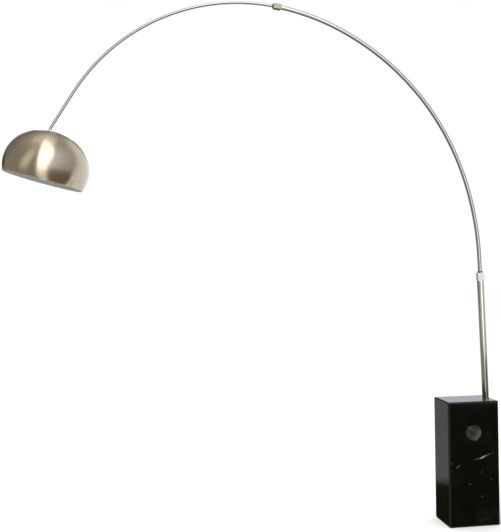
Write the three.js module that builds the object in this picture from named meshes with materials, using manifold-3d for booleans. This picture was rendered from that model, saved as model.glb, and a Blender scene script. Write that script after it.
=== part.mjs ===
// Arc floor lamp: a stone block, a post, an arm in two telescoping arches, and a domed shade.
// Millimetres. +Z is up, the arm reaches towards -X, and the arm's plane is y = 0.
// The origin is the centre of the block's underside, on the floor.
import * as THREE from "three";
import { mergeVertices } from "three/addons/utils/BufferGeometryUtils.js";
import Module from "manifold-3d";

const wasm = await Module();
wasm.setup();

// ---- Driving dimensions -------------------------------------------------------------------------

const fitGap = 0.3;
const degree = Math.PI / 180;

const felt = { thickness: 2, inset: 3 };
const block = { width: 235, depth: 160, top: 550, cornerRadius: 4, edgeRadius: 3 };
const carryHole = { radius: 34, height: 413.5, chamfer: 2 };
const socket = { depth: 55, footX: 96.5 };
const recess = { radius: 14, height: 28 };
const wireway = { radius: 11.5, channelWidth: 12, channelHeight: 14 };
const grommet = { length: 12, lip: 3, boreRadius: 3.6 };

const post = { radius: 15, wall: 2, lean: 1.85 * degree, height: 529 };
const endPlug = { length: 30, notchWidth: 7, notchReach: 7.5 };
const stud = { radius: 6, engagement: 24, stickOut: 20 };
const washer = { radius: 12.5, thickness: 2.5 };
const springWasher = { radius: 10.5, thickness: 3, gap: 2.5, turn: 35 * degree };
const nut = { acrossFlats: 19, thickness: 10 };

const midTube = { radius: 9, wall: 1.5, insertion: 249 };
const outerTube = { radius: 6, wall: 1.2, overlap: 190 };
const bushLength = 25;
const bushInset = 2;
const footBush = { length: 45, lip: 5, lipRadius: 7 };

// The arm's centreline from the block's top: a straight leg, four arcs of growing turn, and a
// straight tip. The outer tube slides in the mid tube along the third arc.
const leg = { length: 625 };
const lowerArc = { radius: 1303, turn: 17.44 * degree };
const shoulderArc = { radius: 1117.4, turn: 47.43 * degree };
const slidingArc = { radius: 964.5, turn: 18 * degree };
const reachArc = { radius: 860.3, turn: 63.21 * degree };
const tip = { length: 172.6 };
const endBend = { radius: 30 };
const collarAlongSlidingArc = 240;

const lowerCollar = { width: 29, depth: 22, length: 38, spigot: 30, corner: 2, edge: 1.5 };
const upperCollar = { width: 23, depth: 22, length: 34, corner: 2, edge: 1.5 };
const collarGap = 0.5;
const clampScrew = { radius: 2.3, spacing: 18, hexRadius: 1.4, hexDepth: 2 };
const fixingScrew = { radius: 1.9, hexRadius: 1, hexDepth: 0.9 };
const screwRecess = 0.2;
const lowerWiper = { radius: 11.5, length: 6 };
const upperWiper = { radius: 8, length: 5 };

const capTilt = 8 * degree;
const ventCap = { wall: 1, lap: 11.7 * degree, holeRadius: 6.5, holePitch: 27 };
const ventRows = { first: 24, spacing: 23, count: 3 };
const armCollar = { radius: 10, length: 5 };
const stem = { wall: 1.5, grip: 5, endRoom: 1 };
const capWasher = { radius: 13, thickness: 2, drop: 1 };
const lockNut = { acrossFlats: 17, thickness: 5 };

const bulb = { radius: 40, wall: 1, length: 118, neckRadius: 12, neckFlare: 26 };
const bulbBase = { radius: 13.2, wall: 0.6, length: 25, seat: 3, tipRadius: 4.5 };
const bulbTipBelowPivot = 14;
const holder = { radius: 20, length: 58, wall: 1.8, capLength: 26, shoulder: 9, bossRadius: 8 };
const holderCore = { thickness: 9, boreRadius: 3.4 };
const screwShell = { wall: 0.6, length: 24 };
const contact = { radius: 5, thickness: 1.2 };

const bowl = { radius: 176, wall: 1, crownRadius: 192, crownAngle: 41.3 * degree, rimDrop: 56.5 };
const bowlOpening = { radius: 88 };
const bowlTilt = 15.2 * degree;
const bowlLean = 1.3 * degree;
const ringSeat = { gap: 0.8, thickness: 0.6, capGap: 0.6, width: 2.5 * degree, inset: 1 * degree };

// How finely round things are faceted: the sides of circles, and how far a facet may stray from an
// arc of the arm.
const sides = { small: 16, tube: 16, post: 24, hole: 8, carryHole: 28, cap: 32, bowl: 48 };
const facetError = 0.25;

// ---- Materials ----------------------------------------------------------------------------------

function finish(color, roughness, metalness) {
  return new THREE.MeshStandardMaterial({ color, roughness, metalness });
}

const marble = finish(0x0b0c0a, 0.08, 0);
const feltPad = finish(0x1c1c1c, 0.95, 0);
const satinSteel = finish(0xb9b4ae, 0.28, 1);
const clampSteel = finish(0xdcdbd6, 0.3, 1);
const brushedNickel = finish(0x9a8d72, 0.32, 1);
const zincSteel = finish(0xa7a9ab, 0.4, 1);
const brass = finish(0xb08d46, 0.35, 1);
const darkRubber = finish(0x3b3a38, 0.7, 0);
const nylon = finish(0xd8d6cf, 0.5, 0);
const blackPhenolic = finish(0x171615, 0.4, 0);
const ceramic = finish(0xe8e4da, 0.35, 0);
const opalGlass = finish(0xf5f1e6, 0.2, 0);

// ---- Shape helpers ------------------------------------------------------------------------------

// A geometry as a closed solid that can be cut and joined.
function solidOf(geometry) {
  const bare = geometry.clone();
  bare.deleteAttribute("normal");
  bare.deleteAttribute("uv");
  const merged = mergeVertices(bare, 1e-4);
  const mesh = new wasm.Mesh({
    numProp: 3,
    vertProperties: merged.attributes.position.array,
    triVerts: new Uint32Array(merged.index.array),
  });
  return new wasm.Manifold(mesh);
}

function geometryOf(solid) {
  const mesh = solid.getMesh();
  const geometry = new THREE.BufferGeometry();
  geometry.setAttribute("position", new THREE.BufferAttribute(mesh.vertProperties, 3));
  geometry.setIndex(new THREE.BufferAttribute(mesh.triVerts, 1));
  geometry.computeVertexNormals();
  return geometry;
}

function cut(body, tools) {
  const rest = tools.reduce((solid, tool) => solid.subtract(solidOf(tool)), solidOf(body));
  return geometryOf(rest);
}

function join(body, other) {
  return geometryOf(solidOf(body).add(solidOf(other)));
}

// A profile of [radius, height] points, turned about the Z axis. One that is clear of the axis
// closes on itself.
function turned(profile, count = sides.small) {
  const points = profile.map(([radius, height]) => new THREE.Vector2(radius, height));
  const onAxis = profile[0][0] === 0;
  if (!onAxis) points.push(points[0].clone());
  return new THREE.LatheGeometry(points, count).rotateX(Math.PI / 2);
}

function ring(outer, inner, bottom, top, count = sides.small) {
  return turned([[inner, bottom], [outer, bottom], [outer, top], [inner, top]], count);
}

function rod(radius, bottom, top, count = sides.small) {
  const geometry = new THREE.CylinderGeometry(radius, radius, top - bottom, count);
  return geometry.rotateX(Math.PI / 2).translate(0, 0, (top + bottom) / 2);
}

function hexRod(acrossFlats, bottom, top) {
  return rod(acrossFlats / 2 / Math.cos(30 * degree), bottom, top, 6);
}

// A block with rounded upright corners and rounded ends, standing on bottom.
function roundedBlock(width, depth, bottom, top, corner, edge) {
  const x = width / 2 - corner;
  const y = depth / 2 - corner;
  const shape = new THREE.Shape();
  shape.absarc(x, y, corner, 0, Math.PI / 2);
  shape.absarc(-x, y, corner, Math.PI / 2, Math.PI);
  shape.absarc(-x, -y, corner, Math.PI, 1.5 * Math.PI);
  shape.absarc(x, -y, corner, 1.5 * Math.PI, 2 * Math.PI);
  shape.closePath();
  const rounding = { bevelThickness: edge, bevelSize: edge, bevelOffset: -edge, bevelSegments: 2 };
  const depthOfWall = top - bottom - 2 * edge;
  const geometry = new THREE.ExtrudeGeometry(shape, { depth: depthOfWall, curveSegments: 3, ...rounding });
  return geometry.translate(0, 0, bottom + edge);
}

// The points of an arc in a turned profile, from one polar angle to another, about a centre that
// is given as radius and height. Angle 0 points up the axis.
function profileArc(centre, radius, from, to, count) {
  return Array.from({ length: count + 1 }, (_, i) => {
    const angle = THREE.MathUtils.lerp(from, to, i / count);
    return [centre[0] + radius * Math.sin(angle), centre[1] + radius * Math.cos(angle)];
  });
}

// A hex-socket grub screw along +Z, with its point at pointHeight and its socket in the far end.
function grubScrew(size, pointHeight, topHeight) {
  const body = rod(size.radius, pointHeight, topHeight, sides.tube);
  return cut(body, [rod(size.hexRadius, topHeight - size.hexDepth, topHeight + 1, 6)]);
}

// ---- The arm's centreline -----------------------------------------------------------------------

const bendTurn = 270 * degree - capTilt - (90 * degree + post.lean)
  - lowerArc.turn - shoulderArc.turn - slidingArc.turn - reachArc.turn;
const armStretches = [
  { length: leg.length, turn: 0 },
  { length: lowerArc.radius * lowerArc.turn, turn: lowerArc.turn },
  { length: shoulderArc.radius * shoulderArc.turn, turn: shoulderArc.turn },
  { length: slidingArc.radius * slidingArc.turn, turn: slidingArc.turn },
  { length: reachArc.radius * reachArc.turn, turn: reachArc.turn },
  { length: tip.length, turn: 0 },
  { length: endBend.radius * bendTurn, turn: bendTurn },
  { length: stem.grip + stem.endRoom, turn: 0 },
];
const armLength = armStretches.reduce((sum, stretch) => sum + stretch.length, 0);
const slidingArcStart = armStretches.slice(0, 3).reduce((sum, stretch) => sum + stretch.length, 0);

// Where the centreline is at a distance along it from the block's top, and which way it heads:
// 90 degrees is up, 180 degrees is towards -X. Below the block's top the distance is negative.
function armAt(distance) {
  let x = socket.footX;
  let z = block.top;
  let heading = 90 * degree + post.lean;
  let left = distance;
  for (const { length, turn } of armStretches) {
    const run = Math.min(left, length);
    const turned = turn * run / length;
    const chord = turn === 0 ? run : 2 * (length / turn) * Math.sin(turned / 2);
    x += chord * Math.cos(heading + turned / 2);
    z += chord * Math.sin(heading + turned / 2);
    heading += turned;
    left -= run;
    if (left <= 0) break;
  }
  return { x, z, heading };
}

// The distances along the arm where a tube needs a section: where a stretch starts or ends, and
// often enough on an arc that the facets stay near it.
function sectionPlaces(from, to) {
  const places = [from];
  let start = 0;
  for (const { length, turn } of armStretches) {
    const first = Math.max(from, start);
    const last = Math.min(to, start + length);
    const finestStep = 2 * Math.acos(1 - facetError * turn / length);
    const count = turn > 0 ? Math.ceil(turn * (last - first) / length / finestStep) : 1;
    for (let i = 1; i <= count && first < last; i += 1) {
      places.push(THREE.MathUtils.lerp(first, last, i / count));
    }
    start += length;
  }
  return places;
}

// The arm's centreline as a curve whose equal shares of t run from one place to the next.
class ArmStretch extends THREE.Curve {
  constructor(places) {
    super();
    this.places = places;
  }

  getUtoTmapping(share) {
    return share;
  }

  getPoint(t, target = new THREE.Vector3()) {
    const share = t * (this.places.length - 1);
    const i = THREE.MathUtils.clamp(Math.floor(share), 0, this.places.length - 2);
    const { x, z } = armAt(THREE.MathUtils.lerp(this.places[i], this.places[i + 1], share - i));
    return target.set(x, 0, z);
  }
}

function circleShape(radius, hole) {
  const shape = new THREE.Shape().absarc(0, 0, radius, 0, 2 * Math.PI);
  shape.holes.push(new THREE.Path().absarc(0, 0, hole, 0, 2 * Math.PI, true));
  return shape;
}

// A tube along the arm's centreline.
function armTube(outer, inner, from, to) {
  const shape = circleShape(outer, inner);
  const places = sectionPlaces(from, to);
  const extrudePath = new ArmStretch(places);
  const curveSegments = sides.tube / 2;
  return new THREE.ExtrudeGeometry(shape, { steps: places.length - 1, curveSegments, extrudePath });
}

// A group on the arm's centreline: its Z axis runs along the arm, away from the block, and its X
// axis points to the outside of the bend.
function groupOnArm(distance) {
  const { x, z, heading } = armAt(distance);
  const group = new THREE.Group();
  group.position.set(x, 0, z);
  group.rotation.y = 90 * degree - heading;
  return group;
}

function piece(parent, name, geometry, material) {
  const mesh = new THREE.Mesh(geometry, material);
  mesh.name = name;
  parent.add(mesh);
  return mesh;
}

const lamp = new THREE.Group();

// ---- Block, socket and anchor -------------------------------------------------------------------

const socketFoot = armAt(-socket.depth);
const blockBottom = felt.thickness + fitGap;

function withinBlock(geometry) {
  return geometry.translate(socketFoot.x, 0, 0);
}

function feltSheet() {
  const width = block.width - 2 * felt.inset;
  const depth = block.depth - 2 * felt.inset;
  const sheet = roundedBlock(width, depth, 0, felt.thickness, block.cornerRadius, felt.thickness / 4);
  const recessHole = withinBlock(rod(recess.radius, -1, felt.thickness + 1));
  const slot = new THREE.BoxGeometry(wireway.channelWidth, block.depth / 2, felt.thickness + 2);
  slot.translate(socketFoot.x, block.depth / 4, felt.thickness / 2);
  return cut(sheet, [recessHole, slot]);
}

// The through hole that a bar is passed through to carry the block, with chamfered mouths.
function carryHoleTool() {
  const { radius, chamfer, height } = carryHole;
  const half = block.depth / 2;
  const mouth = radius + chamfer + 1;
  const profile = [
    [0, -half - 1],
    [mouth, -half - 1],
    [radius, -half + chamfer],
    [radius, half - chamfer],
    [mouth, half + 1],
    [0, half + 1],
  ];
  return turned(profile, sides.carryHole).rotateX(Math.PI / 2).translate(0, 0, height);
}

function marbleBlock() {
  const body = roundedBlock(
    block.width, block.depth, blockBottom, block.top, block.cornerRadius, block.edgeRadius);
  const postBore = rod(post.radius + fitGap, -socket.depth, 10, sides.post);
  postBore.rotateY(-post.lean).translate(socket.footX, 0, block.top);
  const wireBore = withinBlock(rod(wireway.radius, recess.height - 1, socketFoot.z + 1));
  const recessBore = withinBlock(rod(recess.radius, 0, recess.height));
  const channel = new THREE.BoxGeometry(wireway.channelWidth, block.depth, wireway.channelHeight * 2);
  channel.translate(socketFoot.x, block.depth / 2, 0);
  return cut(body, [carryHoleTool(), postBore, wireBore, recessBore, channel]);
}

// The soft bush in the channel's mouth at the block's back, where the flex would leave.
function grommetBody() {
  const width = wireway.channelWidth - 2 * fitGap;
  const height = wireway.channelHeight - blockBottom - 2 * fitGap;
  const bottom = blockBottom + fitGap;
  const body = new THREE.BoxGeometry(width, grommet.length, height);
  body.translate(0, block.depth / 2 - grommet.length / 2, bottom + height / 2);
  const bore = rod(grommet.boreRadius, -block.depth, block.depth, sides.tube);
  bore.rotateX(Math.PI / 2).translate(0, 0, bottom + height / 2);
  return withinBlock(cut(body, [bore]));
}

piece(lamp, "base_felt", feltSheet(), feltPad);
piece(lamp, "marble_base", marbleBlock(), marble);
piece(lamp, "cable_grommet", grommetBody(), darkRubber);

const washerTop = recess.height - fitGap;
const springTop = washerTop - washer.thickness - fitGap;
const nutTop = springTop - springWasher.thickness - fitGap;
const studBottom = nutTop - stud.stickOut + fitGap;
const studTop = socketFoot.z + stud.engagement;

function splitWasher() {
  const { radius, thickness, gap, turn } = springWasher;
  const body = ring(radius, stud.radius + fitGap, springTop - thickness, springTop);
  const slit = new THREE.BoxGeometry(radius, gap, 4 * thickness);
  slit.translate(radius, 0, 0).rotateX(turn).translate(0, 0, springTop - thickness / 2);
  return cut(body, [slit]);
}

function nutBody(size, boreRadius, bottom) {
  const top = bottom + size.thickness;
  return cut(hexRod(size.acrossFlats, bottom, top), [rod(boreRadius, bottom - 1, top + 1)]);
}

// The plug fills the post's foot. Its threaded hole is upright, so it takes up the post's lean,
// and its notch lets the flex past.
function plugBody() {
  const inner = post.radius - post.wall - fitGap;
  const body = rod(inner, fitGap, endPlug.length, sides.post);
  const threaded = rod(stud.radius + fitGap, -endPlug.length, 2 * endPlug.length).rotateY(post.lean);
  const notch = new THREE.BoxGeometry(inner, endPlug.notchWidth, 3 * endPlug.length);
  notch.translate(-endPlug.notchReach - inner / 2, 0, 0);
  return cut(body, [threaded, notch]);
}

const studRod = rod(stud.radius, studBottom, studTop);
const anchorWasher = ring(washer.radius, stud.radius + fitGap, washerTop - washer.thickness, washerTop);
const anchorNut = nutBody(nut, stud.radius + fitGap, nutTop - nut.thickness);
piece(lamp, "anchor_stud", withinBlock(studRod), zincSteel);
piece(lamp, "anchor_washer", withinBlock(anchorWasher), zincSteel);
piece(lamp, "anchor_spring_washer", withinBlock(splitWasher()), zincSteel);
piece(lamp, "anchor_nut", withinBlock(anchorNut), zincSteel);

const postFoot = groupOnArm(-socket.depth);
const postTube = ring(
  post.radius, post.radius - post.wall, fitGap, socket.depth + post.height - fitGap, sides.post);
piece(postFoot, "lower_post", postTube, satinSteel);
piece(postFoot, "post_end_plug", plugBody(), zincSteel);
lamp.add(postFoot);

// ---- Lower collar -------------------------------------------------------------------------------

// A grub screw and its hole point along local +X after this turn.
function towardsX(geometry, height) {
  return geometry.rotateY(90 * degree).translate(0, 0, height);
}

function lowerCollarBody() {
  const { width, depth, length, spigot, corner, edge } = lowerCollar;
  const body = roundedBlock(width, depth, 0, length, corner, edge);
  const plug = rod(post.radius - post.wall - fitGap, -spigot, edge + 1, sides.post);
  const bore = rod(midTube.radius + collarGap, -spigot - 1, length + 1, sides.post);
  const screwHoles = [-1, 1].map((side) => {
    const hole = rod(clampScrew.radius + fitGap, midTube.radius, width, sides.tube);
    return towardsX(hole, length / 2 + side * clampScrew.spacing / 2);
  });
  return cut(join(body, plug), [bore, ...screwHoles]);
}

const lowerCollarGroup = groupOnArm(post.height);
piece(lowerCollarGroup, "lower_collar", lowerCollarBody(), clampSteel);
[-1, 1].forEach((side, i) => {
  const screw = grubScrew(clampScrew, midTube.radius + fitGap, lowerCollar.width / 2 - screwRecess);
  const height = lowerCollar.length / 2 + side * clampScrew.spacing / 2;
  piece(lowerCollarGroup, "lower_collar_screw_" + (i + 1), towardsX(screw, height), zincSteel);
});
const lowerWiperBottom = lowerCollar.length + fitGap;
const lowerWiperRing = ring(
  lowerWiper.radius, midTube.radius + fitGap, lowerWiperBottom, lowerWiperBottom + lowerWiper.length,
  sides.post);
piece(lowerCollarGroup, "lower_wiper_ring", lowerWiperRing, darkRubber);
lamp.add(lowerCollarGroup);

// ---- Mid arch and its bushes --------------------------------------------------------------------

const midFoot = post.height - midTube.insertion;
const upperCollarAt = slidingArcStart + collarAlongSlidingArc;
const midInner = midTube.radius - midTube.wall;
const bushOuter = midInner - fitGap;
const bushInner = outerTube.radius + fitGap;

const midArch = armTube(midTube.radius, midInner, midFoot, upperCollarAt);
piece(lamp, "mid_arch", midArch, satinSteel);

const footBushOuter = post.radius - post.wall - fitGap;
const footBushProfile = [
  [footBush.lipRadius, -footBush.lip - fitGap],
  [footBushOuter, -footBush.lip - fitGap],
  [footBushOuter, footBush.length - footBush.lip],
  [midTube.radius + fitGap, footBush.length - footBush.lip],
  [midTube.radius + fitGap, -fitGap],
  [footBush.lipRadius, -fitGap],
];
const midFootGroup = groupOnArm(midFoot);
piece(midFootGroup, "leg_foot_bush", turned(footBushProfile, sides.post), nylon);
lamp.add(midFootGroup);

const mouthBushEnd = upperCollarAt - bushInset;
const mouthBush = armTube(bushOuter, bushInner, mouthBushEnd - bushLength, mouthBushEnd);
piece(lamp, "mouth_bush", mouthBush, nylon);

// ---- Upper collar -------------------------------------------------------------------------------

// The mid tube ends in the middle of the collar. The clamp screw presses on the outer tube from
// the back, and the fixing screw holds the collar to the mid tube from above.
const clampHeight = upperCollar.length / 4;

function towardsBack(geometry, height) {
  return geometry.rotateX(-90 * degree).translate(0, 0, height);
}

function upperCollarBody() {
  const { width, depth, length, corner, edge } = upperCollar;
  const half = length / 2;
  const body = roundedBlock(width, depth, -half, half, corner, edge);
  const midBore = rod(midTube.radius + collarGap, -half - 1, fitGap, sides.post);
  const outerBore = rod(outerTube.radius + collarGap, -1, half + 1, sides.post);
  const clampHole = rod(clampScrew.radius + fitGap, outerTube.radius, depth, sides.tube);
  const fixingHole = rod(fixingScrew.radius + fitGap, midTube.radius, width, sides.tube);
  const holes = [towardsBack(clampHole, clampHeight), towardsX(fixingHole, -clampHeight)];
  return cut(body, [midBore, outerBore, ...holes]);
}

const upperCollarGroup = groupOnArm(upperCollarAt);
const upperClamp = grubScrew(
  clampScrew, outerTube.radius + fitGap, upperCollar.depth / 2 - screwRecess);
const upperFixing = grubScrew(
  fixingScrew, midTube.radius + fitGap, upperCollar.width / 2 - screwRecess);
const upperWiperBottom = upperCollar.length / 2 + fitGap;
const upperWiperRing = ring(
  upperWiper.radius, outerTube.radius + collarGap, upperWiperBottom, upperWiperBottom + upperWiper.length);
piece(upperCollarGroup, "upper_collar", upperCollarBody(), clampSteel);
piece(upperCollarGroup, "upper_collar_clamp_screw", towardsBack(upperClamp, clampHeight), zincSteel);
piece(upperCollarGroup, "upper_collar_fixing_screw", towardsX(upperFixing, -clampHeight), zincSteel);
piece(upperCollarGroup, "upper_wiper_ring", upperWiperRing, darkRubber);
lamp.add(upperCollarGroup);

// ---- Outer arch ---------------------------------------------------------------------------------

const outerTail = upperCollarAt - outerTube.overlap;
const outerInner = outerTube.radius - outerTube.wall;
const tailBushFrom = outerTail + bushInset;

const outerArch = armTube(outerTube.radius, outerInner, outerTail, armLength);
const tailBush = armTube(bushOuter, bushInner, tailBushFrom, tailBushFrom + bushLength);
piece(lamp, "outer_arch", outerArch, satinSteel);
piece(lamp, "tail_bush", tailBush, nylon);

// ---- Vent cap and its fastenings ----------------------------------------------------------------

// The head's origin is the centre of the spheres that the cap, ring and bowl share. Its Z axis is
// the cap's axis, and the arm comes down onto the cap's top.
const openingAngle = Math.asin(bowlOpening.radius / bowl.crownRadius);
const capEdgeAngle = openingAngle + ventCap.lap;
const bowlInnerCrown = bowl.crownRadius - bowl.wall;
const ringOuter = bowlInnerCrown - ringSeat.gap;
const ringInner = ringOuter - ringSeat.thickness;
const capOuter = ringInner - ringSeat.capGap;
const capInner = capOuter - ventCap.wall;
const stemRadius = outerInner - fitGap;

const armEnd = armAt(armLength);
const head = new THREE.Group();
head.position.set(
  armEnd.x - (capOuter + fitGap) * Math.sin(capTilt), 0, armEnd.z - (capOuter + fitGap) * Math.cos(capTilt));
head.rotation.y = capTilt;

// A drill for a hole of a vent row: it stands at a point of the dome and points to its centre.
function ventDrill(radius, angleRound) {
  const drill = rod(ventCap.holeRadius, capInner - 4, capOuter + 4, sides.hole);
  return drill.rotateY(Math.asin(radius / capOuter)).rotateZ(angleRound);
}

function ventDrills() {
  return Array.from({ length: ventRows.count }, (_, row) => {
    const radius = ventRows.first + row * ventRows.spacing;
    const count = Math.round(2 * Math.PI * radius / ventCap.holePitch);
    return Array.from({ length: count }, (__, i) => ventDrill(radius, 2 * Math.PI * (i + row / 2) / count));
  }).flat();
}

function ventCapBody() {
  const steps = 5;
  const outer = profileArc([0, 0], capOuter, capEdgeAngle, 0, steps);
  const inner = profileArc([0, 0], capInner, 0, capEdgeAngle, steps);
  outer[steps][0] = 0;
  inner[0][0] = 0;
  const dome = turned([...inner, ...outer], sides.cap);
  const stemHole = rod(stemRadius + fitGap, capInner - 4, capOuter + 4);
  return cut(dome, [stemHole, ...ventDrills()]);
}

const armCollarBottom = capOuter + fitGap;
const armCollarRing = ring(
  armCollar.radius, outerTube.radius + fitGap, armCollarBottom, armCollarBottom + armCollar.length);
const capWasherTop = capInner - capWasher.drop;
const capWasherBottom = capWasherTop - capWasher.thickness;
const capWasherRing = ring(capWasher.radius, stemRadius + fitGap, capWasherBottom, capWasherTop);
const lockNutBottom = capWasherBottom - fitGap - lockNut.thickness;

// ---- Lamp holder and bulb -----------------------------------------------------------------------

// Heights in the head's frame, from the globe's lowest point up.
const globeCentre = bulb.radius - bulbTipBelowPivot;
const bulbTop = bulb.length - bulbTipBelowPivot;
const bulbBaseBottom = bulbTop - bulbBase.length;
const holderMouth = bulbBaseBottom;
const holderTop = holderMouth + holder.length;
const capSeam = holderTop - holder.capLength;
const shellOuter = bulbBase.radius + fitGap + screwShell.wall;
const contactBottom = bulbTop + fitGap;
const coreBottom = contactBottom + contact.thickness + fitGap;
const coreRadius = holder.radius - holder.wall - fitGap;

function holderCapBody() {
  const { radius, wall, shoulder, bossRadius } = holder;
  const profile = [
    [stemRadius + fitGap, holderTop - wall - shoulder / 2],
    [bossRadius, holderTop - shoulder],
    [radius - wall, holderTop - shoulder - wall],
    [radius - wall, capSeam + fitGap],
    [radius, capSeam + fitGap],
    [radius, holderTop - shoulder],
    [bossRadius + 2, holderTop],
    [stemRadius + fitGap, holderTop],
  ];
  return turned(profile, sides.post);
}

// The bulb's metal base: a cup that is open at the glass, with its contact on the closed end.
function bulbBaseBody() {
  const { radius, wall, tipRadius, seat } = bulbBase;
  const profile = [
    [0, bulbTop - wall - seat],
    [tipRadius - wall, bulbTop - wall - seat],
    [radius - wall, bulbTop - seat - 2 * wall - seat],
    [radius - wall, bulbBaseBottom],
    [radius, bulbBaseBottom],
    [radius, bulbTop - 2 * seat],
    [tipRadius, bulbTop - seat],
    [tipRadius - wall, bulbTop],
    [0, bulbTop],
  ];
  return turned(profile, sides.post);
}

// The globe and its neck, as one blown wall that is open at the neck's end.
function bulbGlassBody() {
  const { radius, wall, neckRadius, neckFlare } = bulb;
  const neckEnd = bulbBaseBottom + bulbBase.seat;
  const neckAngle = Math.asin((neckRadius + 4) / radius);
  const steps = 9;
  const outer = profileArc([0, globeCentre], radius, Math.PI, neckAngle, steps);
  const inner = profileArc([0, globeCentre], radius - wall, neckAngle, Math.PI, steps);
  outer[0][0] = 0;
  inner[steps][0] = 0;
  const flareStart = bulbBaseBottom - neckFlare / 4;
  const neckOut = [[neckRadius, flareStart], [neckRadius, neckEnd]];
  const neckIn = [[neckRadius - wall, neckEnd], [neckRadius - wall, flareStart]];
  return turned([...outer, ...neckOut, ...neckIn, ...inner], sides.post);
}

const stemBottom = holderTop - holder.shoulder - holder.wall;
const stemPipe = ring(stemRadius, stemRadius - stem.wall, stemBottom, capOuter + fitGap + stem.grip);
const holderSkirt = ring(
  holder.radius, holder.radius - holder.wall, holderMouth, capSeam, sides.post);
const screwShellRing = ring(
  shellOuter, shellOuter - screwShell.wall, holderMouth + 1, holderMouth + 1 + screwShell.length, sides.post);
const holderCoreDisc = ring(
  coreRadius, holderCore.boreRadius, coreBottom, coreBottom + holderCore.thickness);
const contactDisc = rod(contact.radius, contactBottom, contactBottom + contact.thickness);

piece(head, "arm_end_collar", armCollarRing, clampSteel);
piece(head, "vent_cap", ventCapBody(), brushedNickel);
piece(head, "cap_washer", capWasherRing, zincSteel);
piece(head, "lock_nut", nutBody(lockNut, stemRadius + fitGap, lockNutBottom), zincSteel);
piece(head, "holder_stem", stemPipe, zincSteel);
piece(head, "holder_cap", holderCapBody(), blackPhenolic);
piece(head, "holder_skirt", holderSkirt, blackPhenolic);
piece(head, "holder_core", holderCoreDisc, ceramic);
piece(head, "holder_screw_shell", screwShellRing, brass);
piece(head, "holder_contact", contactDisc, brass);
piece(head, "bulb_base", bulbBaseBody(), zincSteel);
piece(head, "bulb_glass", bulbGlassBody(), opalGlass);

// ---- Glide ring and shade -----------------------------------------------------------------------

function glideRingBody() {
  const to = capEdgeAngle - ringSeat.inset;
  const from = to - ringSeat.width;
  const outer = profileArc([0, 0], ringOuter, to, from, 1);
  const inner = profileArc([0, 0], ringInner, from, to, 1);
  return turned([...outer, ...inner], sides.cap);
}

// The bowl is a two-arc dome: a crown about the head's origin, and a side arc that meets it
// smoothly and turns in below the widest place to the rim.
function bowlBody() {
  const { radius, wall, crownRadius, crownAngle, rimDrop } = bowl;
  const across = Math.sin(crownAngle);
  const sideRadius = (radius - crownRadius * across) / (1 - across);
  const sideCentre = [radius - sideRadius, (crownRadius - sideRadius) * Math.cos(crownAngle)];
  const rim = Math.PI / 2 + Math.asin(rimDrop / sideRadius);
  const outer = [
    ...profileArc([0, 0], crownRadius, openingAngle, crownAngle, 4),
    ...profileArc(sideCentre, sideRadius, crownAngle, rim, 8).slice(1),
  ];
  const inner = [
    ...profileArc([0, 0], crownRadius - wall, openingAngle, crownAngle, 4),
    ...profileArc(sideCentre, sideRadius - wall, crownAngle, rim, 8).slice(1),
  ];
  return turned([...inner, ...outer.reverse()], sides.bowl);
}

const bowlGroup = new THREE.Group();
bowlGroup.rotation.set(bowlLean, bowlTilt - capTilt, 0);
piece(head, "glide_ring", glideRingBody(), nylon);
piece(bowlGroup, "shade_bowl", bowlBody(), brushedNickel);
head.add(bowlGroup);
lamp.add(head);

export default lamp;
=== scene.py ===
"""The looks of an arc floor lamp: a marble block, a post, two telescoping arches and a domed shade.

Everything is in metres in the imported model's frame: +Z is up, the arm reaches towards -X in the
plane y = 0, and the origin is the centre of the block's underside.
"""

from __future__ import annotations

import logging
import math
from collections.abc import Callable, Sequence
from dataclasses import dataclass, field
from enum import Enum

import bpy
from mathutils import Matrix, Vector

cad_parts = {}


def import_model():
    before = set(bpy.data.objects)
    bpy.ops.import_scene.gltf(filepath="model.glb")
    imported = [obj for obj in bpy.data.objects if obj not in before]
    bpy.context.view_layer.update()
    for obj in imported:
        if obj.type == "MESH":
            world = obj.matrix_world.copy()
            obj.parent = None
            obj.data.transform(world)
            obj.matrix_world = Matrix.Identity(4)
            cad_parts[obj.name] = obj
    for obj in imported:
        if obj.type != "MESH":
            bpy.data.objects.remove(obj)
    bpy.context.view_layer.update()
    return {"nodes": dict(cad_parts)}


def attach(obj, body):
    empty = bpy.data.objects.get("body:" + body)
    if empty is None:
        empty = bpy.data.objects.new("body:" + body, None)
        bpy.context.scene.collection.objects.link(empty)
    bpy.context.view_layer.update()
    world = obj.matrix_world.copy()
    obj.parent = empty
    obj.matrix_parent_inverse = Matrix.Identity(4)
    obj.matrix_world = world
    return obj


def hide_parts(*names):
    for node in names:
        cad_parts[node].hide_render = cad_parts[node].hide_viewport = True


LOG = logging.getLogger("arc_lamp")
CLOSE = 1e-6
Colour = tuple[float, float, float]


# ---- Node graphs and finishes --------------------------------------------------


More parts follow.
